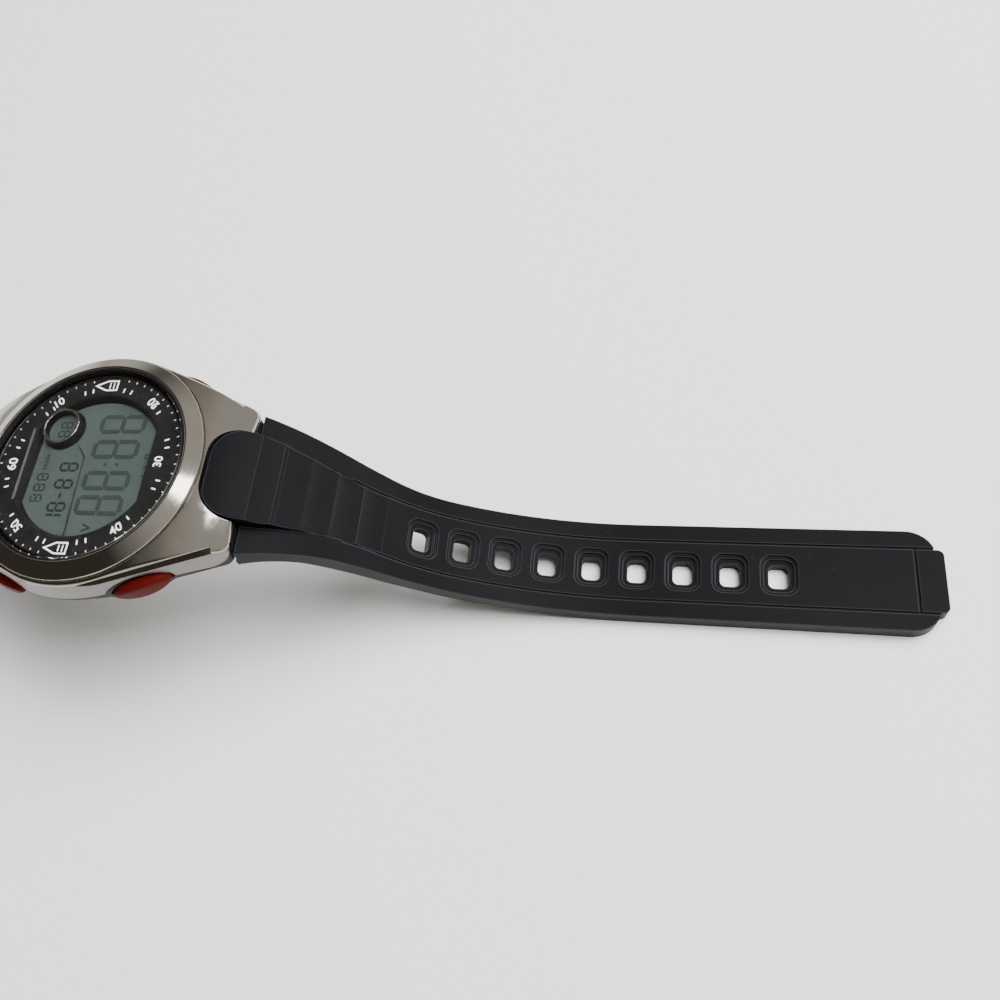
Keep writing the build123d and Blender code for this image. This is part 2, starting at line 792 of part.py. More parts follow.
# Case back with countersunk screws, and its seal
case_back = disc(back_radius, 0, back_seat)
case_back = chamfer(case_back.edges().group_by(Axis.Z)[0], back_edge_chamfer)
head_top = back_screw_head_sink + back_screw_head_height
head_room = extrude(Circle(back_screw_head_radius + seat_gap), head_top)
case_back -= [place * head_room for place in back_screws_at]
case_back -= [place * Pos(0, 0, screw_depth) * screw_hole for place in back_screws_at]
save(case_back, "case_back", "#a9a8a4")
screw_head = Pos(0, 0, back_screw_head_sink) * Circle(back_screw_head_radius)
screw = extrude(screw_head, back_screw_head_height)
shank = Pos(0, 0, head_top) * Circle(back_screw_radius)
screw += extrude(shank, back_screw_length - back_screw_head_height)
half_slot = back_screw_slot_width / 2
slot_top = back_screw_head_sink + back_screw_slot_depth
screw -= slab(-back_screw_head_radius, back_screw_head_radius, -half_slot, half_slot, 0, slot_top)
save(Compound(children=[place * screw for place in back_screws_at]), "case_back_screws", "#b6b5b1")
seal = ring(seal_radius + half_seal, seal_radius - half_seal, back_seat, back_seat + seal_thickness)
save(seal, "case_back_seal", "#1d1d1f")

# Buttons: oval cap, stem, and the clip that keeps it in; ring seal and spring
crown_ball = Pos(button_crown - button_crown_radius, 0, 0) * Sphere(button_crown_radius)
cap = oval(button_half_length, button_half_height, button_back, button_crown) & crown_ball
cap = fillet(cap.edges().sort_by(Axis.X)[-1], button_edge_round)
socket_floor = button_back + stem_socket_depth
cap -= rod(stem_radius, button_back - overrun, socket_floor)
clip_outer = spot_face - seat_gap
clip_inner = clip_outer - clip_ring_thickness
neck_radius = stem_radius - clip_groove_depth
stem = rod(stem_radius, stem_end, socket_floor)
groove = rod(2 * stem_radius, clip_inner, clip_outer) - rod(neck_radius, clip_inner, clip_outer)
stem -= groove
clip_ring = rod(clip_ring_radius, clip_inner, clip_outer) - rod(neck_radius, clip_inner, clip_outer)
half_opening = clip_opening / 2
clip_ring -= slab(clip_inner, clip_outer, -half_opening, half_opening, 0, clip_ring_radius)
for name, signs in corner_signs.items():
    save(button_frame(signs) * cap, f"button_cap_{name}", "#8e2420")
    save(button_frame(signs) * stem, f"button_stem_{name}", "#b8b8b6")
    save(button_frame(signs) * clip_ring, f"button_clip_{name}", "#a0a09e")
oring = Torus(stem_radius + running_gap + oring_section / 2, oring_section / 2)
oring = Pos(oring_place, 0, 0) * Rot(0, 90, 0) * oring
save(Compound(children=at_buttons(oring)), "button_orings", "#1d1d1f")
coils = rod(spring_coil_radius, spring_seat, pocket_floor)
coils -= rod(spring_coil_radius - spring_wall, spring_seat, pocket_floor)
save(Compound(children=at_buttons(coils)), "button_return_springs", "#b0b0ae")

# Spring bars between the lugs
bar = cross_rod(bar_radius, hinge_x, hinge_height, bar_body_half)
bar += cross_rod(bar_tip_radius, hinge_x, hinge_height, bar_tip_reach)
save(Compound(children=[bar, mirror(bar, Plane.YZ)]), "lug_spring_bars", "#b8b8b6")

# Strap: each half follows the same arcs over the shoulder, then its own
shoulder_slope = tongue_slope + crest_turn + shoulder_turn
over_shoulder = [(crest_radius, crest_turn), (shoulder_radius, shoulder_turn), (wing_join_length, 0)]
long_steps = over_shoulder + [
    (drop_length - wing_join_length, 0),
    (sweep_radius, -sweep_turn),
    (foot_radius, sweep_turn - shoulder_slope),
    (long_flat_length, 0),
]


def strap_line(depth, steps):
    """The strap's top, or a line at a depth under it: radius and turn, or a run."""
    heading = radians(tongue_slope)
    point = Vector(strap_front - depth * sin(heading), tongue_top_height - depth * cos(heading))
    edges = []
    for size, turn in steps:
        ahead = Vector(cos(heading), -sin(heading))
        if turn == 0:
            edge = Line(point, point + size * ahead)
        else:
            radius = size - depth if turn > 0 else size + depth
            edge = JernArc(point, ahead, radius, -turn)
        edges.append(edge)
        point = edge @ 1
        heading += radians(turn)
    return edges


def strap_station(steps, distance):
    """Plane on the strap's top at a distance along it: X along, Z outwards."""
    path = Plane.XZ * Wire(strap_line(0, steps))
    point = path.position_at(distance, position_mode=PositionMode.LENGTH)
    ahead = path.tangent_at(distance, position_mode=PositionMode.LENGTH)
    return Plane(origin=point, x_dir=ahead, z_dir=ahead.cross(Vector(0, 1, 0)))


def strap_body(steps):
    """Blank of one strap half, its free end left square."""
    top = strap_line(0, steps)
    under = strap_line(strap_thickness, steps)
    end = top[-1] @ 1
    uphill = radians(shoulder_slope)
    upwards = Vector(-cos(uphill), sin(uphill))
    wing_top = JernArc(top[2] @ 1, upwards, wing_top_radius, wing_top_turn)
    wing_under = JernArc(under[1] @ 1, upwards, wing_under_radius, wing_under_turn)
    root = wing_under @ 1
    band_edges = [wing_top] + top[3:] + [Line(end, under[-1] @ 1)] + under[2:][::-1]
    band_edges += [wing_under, Line(root, wing_top @ 1)]
    band_plan = plan_outline([
        (lug_reach + moving_gap - wing_lip, wing_half_width, 0),
        (lug_reach + moving_gap + wing_taper_length, strap_half_width, wing_blend_radius),
        (end.X + overrun, strap_half_width, 0),
    ])
    low = end.Y - 2 * overrun
    band_prism = extrude(Pos(0, 0, low) * band_plan, case_height - low)
    band = side_profile(band_edges, wing_half_width + overrun) & band_prism
    lug_front = lug_reach + moving_gap
    band -= slab(hinge_x, lug_front, -lug_reach, lug_reach, hinge_height, case_height)
    band -= cross_rod(lug_end_radius + moving_gap, hinge_x, hinge_height, lug_reach)

    # The tongue runs in between the lugs and swings on the spring bar
    offset_x = root.X - hinge_x
    offset_z = root.Y - hinge_height
    side = atan2(offset_z, offset_x) - acos(barrel_radius / hypot(offset_x, offset_z))
    foot = (hinge_x + barrel_radius * cos(side), hinge_height + barrel_radius * sin(side))
    back = (hinge_x - barrel_radius, hinge_height)
    front = (strap_front, hinge_height)
    middle_angle = (side - radians(180)) / 2
    bottom = (
        hinge_x + barrel_radius * cos(middle_angle),
        hinge_height + barrel_radius * sin(middle_angle),
    )
    tongue_edges = top[:3] + [Line(top[2] @ 1, under[2] @ 1), under[2], wing_under]
    tongue_edges += [Line(root, foot), ThreePointArc(foot, bottom, back)]
    tongue_edges += [Line(back, front), Line(front, top[0] @ 0)]
    tongue_plan = plan_outline([
        (strap_front, tongue_half_width, tongue_corner_radius),
        (strap_front + tongue_straight_length, tongue_half_width, tongue_blend_radius),
        (strap_front + tongue_taper_length, panel_half_width, tongue_blend_radius),
        (end.X + overrun, panel_half_width, 0),
    ])
    tongue_prism = extrude(Pos(0, 0, low) * tongue_plan, case_height - low)
    body = band + (side_profile(tongue_edges, wing_half_width) & tongue_prism)
    body -= cross_rod(bar_radius + running_gap, hinge_x, hinge_height, lug_half_width)

    # Fine groove along both sides of the middle panel, and its shallow ribs
    floor = strap_line(groove_depth, steps)[3:]
    above = strap_line(-groove_depth, steps)[3:]
    loop = above + [Line(above[-1] @ 1, floor[-1] @ 1)] + floor[::-1]
    loop.append(Line(floor[0] @ 0, above[0] @ 0))
    groove_plan = offset(tongue_plan, groove_width)
    groove_prism = extrude(Pos(0, 0, low) * (groove_plan - tongue_plan), case_height - low)
    body -= side_profile(loop, strap_half_width) & groove_prism
    wave_radius = rib_pitch ** 2 / (8 * rib_depth) + rib_depth / 2
    for count in range(rib_count):
        station = strap_station(steps, rib_first_distance + count * rib_pitch)
        wave = station * Pos(0, 0, wave_radius - rib_depth) * Rot(90, 0, 0)
        body -= wave * Cylinder(wave_radius, 2 * wing_half_width) & tongue_prism
    return body


# Long half: flat tip, nine holes with stepped edges
long_strap = strap_body(long_steps)
long_line = strap_line(0, long_steps)
long_end = (long_line[-1] @ 1).X
flat_top = (long_line[-1] @ 1).Y
flat_under = flat_top - strap_thickness
tip_plan = plan_outline([
    (long_end - 2 * tip_corner_radius, wing_half_width, 0),
    (long_end, wing_half_width, 0),
])
corner_plan = plan_outline([
    (long_end - 2 * tip_corner_radius, strap_half_width, 0),
    (long_end, strap_half_width, tip_corner_radius),
])
tip_waste = extrude(Pos(0, 0, flat_under - overrun) * (tip_plan - corner_plan), 3 * overrun)
long_strap -= tip_waste
panel_end = long_end + tip_panel_proud
panel_tip = plan_outline([
    (panel_end - tip_panel_length, panel_half_width, 0),
    (panel_end, panel_half_width, tip_panel_corner_radius),
])
long_strap += extrude(Pos(0, 0, flat_under) * panel_tip, strap_thickness)
groove_x = panel_end - tip_groove_inset
half_groove = groove_width / 2
long_strap -= slab(
    groove_x - half_groove, groove_x + half_groove,
    -panel_half_width, panel_half_width,
    flat_top - groove_depth, flat_top + overrun,
)
first_recess = RectangleRounded(recess_length, recess_width, recess_corner)
second_recess = RectangleRounded(recess_step_length, recess_step_width, recess_step_corner)
hole_face = RectangleRounded(hole_length, hole_width, hole_corner)
hole_cut = extrude(Pos(0, 0, -recess_depth) * first_recess, recess_depth + overrun)
hole_cut += extrude(Pos(0, 0, -recess_step_depth) * second_recess, recess_step_depth)
hole_cut += extrude(hole_face, -2 * strap_thickness)
path_length = Wire(long_line).length
last_hole = path_length + tip_panel_proud - hole_tip_distance
for count in range(hole_count):
    long_strap -= strap_station(long_steps, last_hole - count * hole_pitch) * hole_cut
save(long_strap, "long_strap", "#1e1f21")

# Short half: its flat lies higher by the keeper's wall, so both rest level
keeper_under = keeper_wall + keeper_under_gap
short_top = flat_top + keeper_under
shoulder_end = strap_line(0, over_shoulder)[1] @ 1
foot_fall = short_foot_radius * (1 - cos(radians(shoulder_slope)))
short_drop = (shoulder_end.Y - short_top - foot_fall) / sin(radians(shoulder_slope))
short_steps = over_shoulder + [
    (short_drop - wing_join_length, 0),
    (short_foot_radius, -shoulder_slope),
    (short_flat_length, 0),
]
short_strap = strap_body(short_steps)
buckle_x = (strap_line(0, short_steps)[-1] @ 1).X
buckle_height = short_top - strap_thickness / 2


def loop_round(middle_x, width, low, slot_low):
    """Keeper loop over the short half, with room for the long half."""
    inner = strap_half_width + keeper_side_gap
    outer = inner + keeper_wall
    slot_high = short_top + keeper_slot_height
    high = slot_high + keeper_wall
    x_from = middle_x - width / 2
    loop = slab(x_from, x_from + width, -outer, outer, low, high)
    loop = fillet(loop.edges().filter_by(Axis.X).group_by(Axis.Z)[-1], keeper_corner_radius)
    return loop - slab(x_from, x_from + width, -inner, inner, slot_low, slot_high)


fixed_x = buckle_x - fixed_keeper_inset
short_strap += loop_round(fixed_x, fixed_keeper_width, short_top - strap_thickness, short_top)
short_strap += cross_rod(strap_eye_radius, buckle_x, buckle_height, strap_half_width)
short_strap -= cross_rod(buckle_bar_radius + seat_gap, buckle_x, buckle_height, lug_half_width)
prong_low = buckle_thickness / 2 - prong_notch_depth + seat_gap
prong_top = prong_low + prong_thickness
half_tongue_slot = tongue_slot_width / 2
short_strap -= slab(
    buckle_x - prong_top - prong_back_room, buckle_x + overrun,
    -half_tongue_slot, half_tongue_slot,
    buckle_height - overrun, buckle_height + overrun,
)
save(mirror(short_strap, Plane.YZ), "short_strap", "#1e1f21")
free_x = buckle_x - free_keeper_inset
free_low = short_top - strap_thickness - keeper_under
slot_low = short_top - strap_thickness - keeper_under_gap
free_keeper = loop_round(free_x, free_keeper_width, free_low, slot_low)
save(mirror(free_keeper, Plane.YZ), "free_keeper", "#1e1f21")

# Buckle: bar in the strap's eye, U-shaped frame on its tips, and the prong
arm_inner = buckle_half_width - buckle_side
bar_half = arm_inner - seat_gap
buckle_bar = cross_rod(buckle_bar_radius, buckle_x, buckle_height, bar_half)
tip_reach = arm_inner + buckle_tip_depth
buckle_bar += cross_rod(buckle_tip_radius, buckle_x, buckle_height, tip_reach)
save(mirror(buckle_bar, Plane.YZ), "buckle_bar", "#b8b8b6")
half_thick = buckle_thickness / 2
rail_front = buckle_x + buckle_length + buckle_rail_width / 2
arm_back = buckle_x - half_thick
outer_plan = plan_outline([
    (arm_back, buckle_half_width, 0),
    (rail_front, buckle_half_width, buckle_corner_radius),
])
window_end = rail_front - buckle_rail_width
inner_plan = plan_outline([
    (arm_back - overrun, arm_inner, 0),
    (window_end, arm_inner, buckle_corner_radius / 2),
])
frame_plan = Pos(0, 0, buckle_height - half_thick) * (outer_plan - inner_plan)
frame = extrude(frame_plan, buckle_thickness)
length = rail_front - arm_back
side_face = Plane.XZ * Pos(arm_back + length / 2, buckle_height) * SlotOverall(length, buckle_thickness)
frame &= extrude(side_face, buckle_half_width, both=True)
frame -= cross_rod(buckle_tip_radius + running_gap, buckle_x, buckle_height, tip_reach + seat_gap)
half_notch = prong_width / 2 + moving_gap
frame -= slab(
    window_end - overrun, rail_front + overrun,
    -half_notch, half_notch,
    buckle_height + half_thick - prong_notch_depth, buckle_height + overrun,
)
save(mirror(frame, Plane.YZ), "buckle_frame", "#a8a7a3")
prong_end = rail_front + prong_overhang
prong = slab(
    buckle_x, prong_end,
    -prong_width / 2, prong_width / 2,
    buckle_height + prong_low, buckle_height + prong_top,
)
prong = fillet(prong.edges().filter_by(Axis.Y).group_by(Axis.X)[-1], prong_edge_round)
prong += cross_rod(prong_eye_radius, buckle_x, buckle_height, prong_eye_width / 2)
prong -= cross_rod(buckle_bar_radius + running_gap, buckle_x, buckle_height, overrun)
save(mirror(prong, Plane.YZ), "buckle_prong", "#a8a7a3")
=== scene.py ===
import bpy
import math
from mathutils import Matrix, Vector


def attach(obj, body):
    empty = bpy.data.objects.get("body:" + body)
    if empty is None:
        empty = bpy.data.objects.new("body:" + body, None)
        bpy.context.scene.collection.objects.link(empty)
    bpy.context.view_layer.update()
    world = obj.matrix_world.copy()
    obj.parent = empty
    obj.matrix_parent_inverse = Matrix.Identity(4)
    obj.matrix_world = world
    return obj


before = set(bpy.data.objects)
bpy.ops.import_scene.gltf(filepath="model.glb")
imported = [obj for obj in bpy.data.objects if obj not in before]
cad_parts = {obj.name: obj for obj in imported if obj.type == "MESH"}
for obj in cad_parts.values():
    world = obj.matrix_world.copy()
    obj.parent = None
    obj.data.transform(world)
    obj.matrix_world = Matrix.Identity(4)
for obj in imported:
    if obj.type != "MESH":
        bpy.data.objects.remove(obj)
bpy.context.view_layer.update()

# Camera: the photograph was taken from above the six o'clock side, and the
# frame was cropped at its left, which the lens shift stands for. Its place is
# in metres and its axes are in the model's frame.
camera = bpy.data.objects.new("camera", bpy.data.cameras.new("camera"))
bpy.context.collection.objects.link(camera)
camera_right = Vector((0.946343, 0.165003, -0.277864))
camera_up = Vector((-0.016703, 0.883651, 0.467848))
camera_back = Vector((0.322731, -0.438103, 0.838994))
camera_place = Vector((0.08828, -0.06595, 0.12657))
turn = Matrix((camera_right, camera_up, camera_back)).transposed()
camera.matrix_world = Matrix.Translation(camera_place) @ turn.to_4x4()
camera.data.lens = 34.74
camera.data.sensor_width = 36.0
camera.data.shift_x = 0.16
camera.data.clip_start = 0.005
bpy.context.scene.camera = camera


# Floor: a wide sheet of matt white paper, on which the straps stand. It is lit
# from above and gives the metal its pale reflections from below.
def colour(hex_code):
    """sRGB hex to the linear values that a socket takes."""
    parts = [int(hex_code[i : i + 2], 16) / 255 for i in (1, 3, 5)]
    linear = [c / 12.92 if c <= 0.04045 else ((c + 0.055) / 1.055) ** 2.4 for c in parts]
    return (*linear, 1.0)


def add_node(tree, kind, sockets=None, **settings):
    """Adds a node with its settings, its socket values and the links into it."""
    made = tree.nodes.new(kind)
    for name, value in settings.items():
        setattr(made, name, value)
    for key, value in (sockets or {}).items():
        if isinstance(value, bpy.types.NodeSocket):
            tree.links.new(value, made.inputs[key])
        else:
            made.inputs[key].default_value = value
    return made


def new_material(name):
    """An empty material and its output node."""
    material = bpy.data.materials.new(name)
    material.use_nodes = True
    material.node_tree.nodes.clear()
    tree = material.node_tree
    return material, tree, add_node(tree, "ShaderNodeOutputMaterial")


strap_foot = -0.02463
paper_gap = 0.00002
paper_top = strap_foot - paper_gap
paper_half = 3.0
paper_corners = [(-1, -1), (1, -1), (1, 1), (-1, 1)]
floor_mesh = bpy.data.meshes.new("paper_floor")
floor_mesh.from_pydata(
    [(x * paper_half, y * paper_half, paper_top) for x, y in paper_corners],
    [],
    [(0, 1, 2, 3)],
)
floor = bpy.data.objects.new("paper_floor", floor_mesh)
bpy.context.collection.objects.link(floor)
paper, tree, output = new_material("matt_white_paper")
paper_surface = add_node(
    tree,
    "ShaderNodeBsdfPrincipled",
    {"Base Color": colour("#f6f6f5"), "Roughness": 0.9, "Specular IOR Level": 0.1},
)
tree.links.new(paper_surface.outputs[0], output.inputs["Surface"])
floor_mesh.materials.append(paper)

# Studio light: one strong soft box high over the six o'clock side, a pale
# wall behind it, a dark side opposite that keeps the metal deep and the glass
# clear, and a low white wall all round.
world = bpy.data.worlds.new("studio_room")
bpy.context.scene.world = world
world.use_nodes = True
tree = world.node_tree
tree.nodes.clear()
pale_side = (0.9, 0.3, 0.3)
room_place = add_node(tree, "ShaderNodeTexCoord")
room_split = add_node(tree, "ShaderNodeSeparateXYZ", {0: room_place.outputs["Generated"]})
towards_wall = add_node(
    tree,
    "ShaderNodeVectorMath",
    {0: room_place.outputs["Generated"], 1: pale_side},
    operation="DOT_PRODUCT",
)
wall = add_node(
    tree,
    "ShaderNodeMapRange",
    {"Value": towards_wall.outputs["Value"], "From Min": 0.08, "From Max": 0.5},
)
upper_shade = add_node(
    tree,
    "ShaderNodeMix",
    {0: wall.outputs[0], 6: colour("#4c4842"), 7: colour("#d8d6d0")},
    data_type="RGBA",
)
low_wall = add_node(
    tree,
    "ShaderNodeMapRange",
    {"Value": room_split.outputs["Z"], "From Min": 0.3, "From Max": 0.08},
    interpolation_type="SMOOTHSTEP",
)
room_shade = add_node(
    tree,
    "ShaderNodeMix",
    {0: low_wall.outputs[0], 6: upper_shade.outputs[2], 7: colour("#efefed")},
    data_type="RGBA",
)
room = add_node(tree, "ShaderNodeBackground", {"Color": room_shade.outputs[2], "Strength": 1.0})
add_node(tree, "ShaderNodeOutputWorld", {"Surface": room.outputs[0]})


def soft_box(name, place, target, size, power):
    """Square area light that points at a target."""
    light = bpy.data.lights.new(name, "AREA")
    light.size = size
    light.energy = power
    box = bpy.data.objects.new(name, light)
    bpy.context.collection.objects.link(box)
    aim = (Vector(target) - Vector(place)).to_track_quat("-Z", "Y")
    box.matrix_world = Matrix.Translation(place) @ aim.to_matrix().to_4x4()
    return box


soft_box("key_box", place=(0.343, 0.185, 0.78), target=(0.01, 0, 0), size=0.17, power=1.4)
# The wide silk over the table only fills; it is flagged off in the reflections
silk = soft_box("fill_silk", place=(0.40, 0.22, 0.74), target=(0.03, 0, 0), size=0.8, power=20.0)
silk.visible_glossy = False


# Inner case: black ABS, moulded in one piece with the seats for the movement.
# Its mould was spark eroded, which leaves a fine satin grain.
def dress(node, material):
    """Gives a CAD node its finish."""
    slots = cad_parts[node].data.materials
    slots.clear()
    slots.append(material)


def surface_places(tree):
    """Coordinates in metres that stay with the object."""
    return add_node(tree, "ShaderNodeTexCoord").outputs["Object"]


def moulded(name, dark, light, roughness, grain):
    """Moulded plastic whose colour drifts a little; its skin has a grain, in mm."""
    material, tree, output = new_material(name)
    places = surface_places(tree)
    drift = add_node(
        tree, "ShaderNodeTexNoise", {"Vector": places, "Scale": 150.0, "Detail": 2.0}
    )
    shade = add_node(
        tree,
        "ShaderNodeMix",
        {0: drift.outputs["Fac"], 6: colour(dark), 7: colour(light)},
        data_type="RGBA",
    )
    skin = add_node(
        tree, "ShaderNodeTexNoise", {"Vector": places, "Scale": 1000.0 / grain, "Detail": 3.0}
    )
    sheen = add_node(
        tree,
        "ShaderNodeMapRange",
        {
            "Value": skin.outputs["Fac"],
            "From Min": 0.3,
            "From Max": 0.7,
            "To Min": roughness - 0.06,
            "To Max": roughness + 0.06,
        },
    )
    edge = add_node(tree, "ShaderNodeBevel", {"Radius": 0.00015}, samples=6)
    relief = add_node(
        tree,
        "ShaderNodeBump",
        {
            "Height": skin.outputs["Fac"],
            "Strength": 0.12,
            "Distance": grain * 0.0003,
            "Normal": edge.outputs[0],
        },
    )
    surface = add_node(
        tree,
        "ShaderNodeBsdfPrincipled",
        {
            "Base Color": shade.outputs[2],
            "Roughness": sheen.outputs[0],
            "Specular IOR Level": 0.2,
            "Normal": relief.outputs[0],
        },
    )
    tree.links.new(surface.outputs[0], output.inputs["Surface"])
    return material


dress("inner_case", moulded("black_moulded_abs", "#141415", "#1a1a1b", 0.45, 0.2))


# Case back: a disc of stainless steel, turned on its outer face. The tool
# leaves rings 0.05 mm apart, drawn 0.25 mm apart so that they show.
def axis_distance(tree, places):
    """Distance from the case's middle axis in metres."""
    split = add_node(tree, "ShaderNodeSeparateXYZ", {0: places})
    flat = add_node(tree, "ShaderNodeCombineXYZ", {0: split.outputs[0], 1: split.outputs[1]})
    reach = add_node(tree, "ShaderNodeVectorMath", {0: flat.outputs[0]}, operation="LENGTH")
    return reach.outputs["Value"]


turned_steel, tree, output = new_material("turned_stainless_steel")
places = surface_places(tree)
rings = add_node(
    tree,
    "ShaderNodeTexNoise",
    {"W": axis_distance(tree, places), "Scale": 4000.0, "Detail": 2.0},
    noise_dimensions="1D",
)
lathe = add_node(
    tree,
    "ShaderNodeBump",
    {"Height": rings.outputs["Fac"], "Strength": 0.25, "Distance": 0.00003},
)
wear = add_node(tree, "ShaderNodeTexNoise", {"Vector": places, "Scale": 400.0, "Detail": 4.0})
worn = add_node(
    tree,
    "ShaderNodeMapRange",
    {
        "Value": wear.outputs["Fac"],
        "From Min": 0.35,
        "From Max": 0.65,
        "To Min": 0.2,
        "To Max": 0.34,
    },
)
back_surface = add_node(
    tree,
    "ShaderNodeBsdfPrincipled",
    {
        "Base Color": colour("#c9c7c3"),
        "Metallic": 1.0,
        "Roughness": worn.outputs[0],
        "Normal": lathe.outputs[0],
    },
)
tree.links.new(back_surface.outputs[0], output.inputs["Surface"])
dress("case_back", turned_steel)


# Case back screws: stainless steel, cold headed and bright, with small scuffs
# left by the driver. They hold the back to the inner case.
def bright_metal(name, dark, light, roughness):
    """Bright small metal piece with faint scuffs 0.3 mm across."""
    material, tree, output = new_material(name)
    places = surface_places(tree)
    scuffs = add_node(
        tree, "ShaderNodeTexNoise", {"Vector": places, "Scale": 3300.0, "Detail": 4.0}
    )
    tarnish = add_node(
        tree, "ShaderNodeTexNoise", {"Vector": places, "Scale": 300.0, "Detail": 3.0}
    )
    shade = add_node(
        tree,
        "ShaderNodeMix",
        {0: tarnish.outputs["Fac"], 6: colour(dark), 7: colour(light)},
        data_type="RGBA",
    )
    finish = add_node(
        tree,
        "ShaderNodeMapRange",
        {
            "Value": scuffs.outputs["Fac"],
            "From Min": 0.3,
            "From Max": 0.7,
            "To Min": roughness,
            "To Max": roughness + 0.14,
        },
    )
    edge = add_node(tree, "ShaderNodeBevel", {"Radius": 0.0001}, samples=6)
    surface = add_node(
        tree,
        "ShaderNodeBsdfPrincipled",
        {
            "Base Color": shade.outputs[2],
            "Metallic": 1.0,
            "Roughness": finish.outputs[0],
            "Normal": edge.outputs[0],
        },
    )
    tree.links.new(surface.outputs[0], output.inputs["Surface"])
    return material


dress("case_back_screws", bright_metal("cold_headed_steel", "#b4b2ae", "#cac8c4", 0.16))

# Seals: moulded nitrile rubber rings, one under the case back, one on each
# stem, and the L-shaped one that holds the glass. They are quite matt.
nitrile = moulded("black_nitrile_rubber", "#0f0f10", "#171718", 0.62, 0.3)
for node in ("crystal_gasket", "case_back_seal", "button_orings"):
    dress(node, nitrile)

# Sounder: a brass disc with a silvered ceramic wafer, 14 mm across, on its
# middle, which bends to make the beep. A coil spring feeds it.
sounder_metal, tree, output = new_material("brass_and_silvered_ceramic")
places = surface_places(tree)
wafer = add_node(
    tree,
    "ShaderNodeMapRange",
    {"Value": axis_distance(tree, places), "From Min": 0.00705, "From Max": 0.00695},
)
sounder_shade = add_node(
    tree,
    "ShaderNodeMix",
    {0: wafer.outputs[0], 6: colour("#b89a55"), 7: colour("#cfcfca")},
    data_type="RGBA",
)
smears = add_node(tree, "ShaderNodeTexNoise", {"Vector": places, "Scale": 900.0, "Detail": 4.0})
sounder_gloss = add_node(
    tree,
    "ShaderNodeMapRange",
    {
        "Value": smears.outputs["Fac"],
        "From Min": 0.3,
        "From Max": 0.7,
        "To Min": 0.25,
        "To Max": 0.5,
    },
)
sounder_surface = add_node(
    tree,
    "ShaderNodeBsdfPrincipled",
    {
        "Base Color": sounder_shade.outputs[2],
        "Metallic": 1.0,
        "Roughness": sounder_gloss.outputs[0],
    },
)
tree.links.new(sounder_surface.outputs[0], output.inputs["Surface"])
dress("piezo_disc", sounder_metal)
spring_wire = bright_metal("drawn_spring_wire", "#a9a8a4", "#bdbcb8", 0.2)
for node in ("piezo_spring", "button_return_springs"):
    dress(node, spring_wire)

# Battery: a coin cell in a nickel plated can, under a stainless clip, in a
# ring of white moulded acetal. The frame round the display is of acetal too.
dress("coin_cell", bright_metal("nickel_plated_can", "#b9b9b6", "#cecdca", 0.18))
dress("battery_clip", bright_metal("pressed_stainless_strip", "#adaca8", "#c2c1bd", 0.22))
acetal = moulded("white_moulded_acetal", "#c9c8c2", "#d3d2cd", 0.42, 0.25)
for node in ("battery_holder", "lcd_holder"):
    dress(node, acetal)

# Circuit board: glass epoxy with green solder resist over copper tracks, which
# show paler. Real ones are 0.2 mm wide. They are drawn 0.3 mm wide, 1 mm apart.
resist, tree, output = new_material("green_solder_resist")
places = surface_places(tree)
tracks = add_node(
    tree,
    "ShaderNodeTexBrick",
    {
        "Vector": places,
        "Color1": colour("#1d5a34"),
        "Color2": colour("#1a5230"),
        "Mortar": colour("#2f7a48"),
        "Scale": 400.0,
        "Mortar Size": 0.06,
        "Mortar Smooth": 0.2,
        "Brick Width": 1.7,
        "Row Height": 0.4,
    },
)
resist_coat = add_node(
    tree,
    "ShaderNodeBump",
    {"Height": tracks.outputs["Fac"], "Strength": 0.3, "Distance": 0.00003},
)
resist_surface = add_node(
    tree,
    "ShaderNodeBsdfPrincipled",
    {
        "Base Color": tracks.outputs["Color"],
        "Roughness": 0.32,
        "Normal": resist_coat.outputs[0],
    },
)
tree.links.new(resist_surface.outputs[0], output.inputs["Surface"])
dress("circuit_board", resist)

# Chip, quartz and contacts: a blob of black epoxy over the bare chip, the
# quartz in its drawn can, and gold plated leaves that the stems press.
dress("timer_chip", moulded("black_glob_top_epoxy", "#0d0d0e", "#161617", 0.28, 0.6))
dress("quartz_can", bright_metal("drawn_nickel_silver", "#b6b5ae", "#cccbc5", 0.14))
dress("button_contacts", bright_metal("gold_plated_bronze", "#b78f45", "#cfa75a", 0.2))

# Backlight: a panel of white electroluminescent film behind the display,
# with a faint speckle of phosphor grains, drawn 0.2 mm across.
dress("backlight_panel", moulded("phosphor_film", "#c3ccc6", "#dbe2dd", 0.5, 0.2))

# Contact strips: silicone rubber in thin carbon loaded and clear layers, which
# join the board to the display. The layers are 0.05 mm, drawn 0.4 mm thick.
layered, tree, output = new_material("layered_silicone_rubber")
places = surface_places(tree)
split = add_node(tree, "ShaderNodeSeparateXYZ", {0: places})
layer_thickness = 0.0004
layers = add_node(
    tree, "ShaderNodeMath", {0: split.outputs["Y"], 1: layer_thickness}, operation="PINGPONG"
)
banding = add_node(
    tree,
    "ShaderNodeMapRange",
    {"Value": layers.outputs[0], "From Min": 0.00018, "From Max": 0.00022},
)
layered_shade = add_node(
    tree,
    "ShaderNodeMix",
    {0: banding.outputs[0], 6: colour("#1a1a1b"), 7: colour("#7f8a8c")},
    data_type="RGBA",
)
layered_surface = add_node(
    tree, "ShaderNodeBsdfPrincipled", {"Base Color": layered_shade.outputs[2], "Roughness": 0.6}
)
tree.links.new(layered_surface.outputs[0], output.inputs["Surface"])
dress("zebra_connectors", layered)

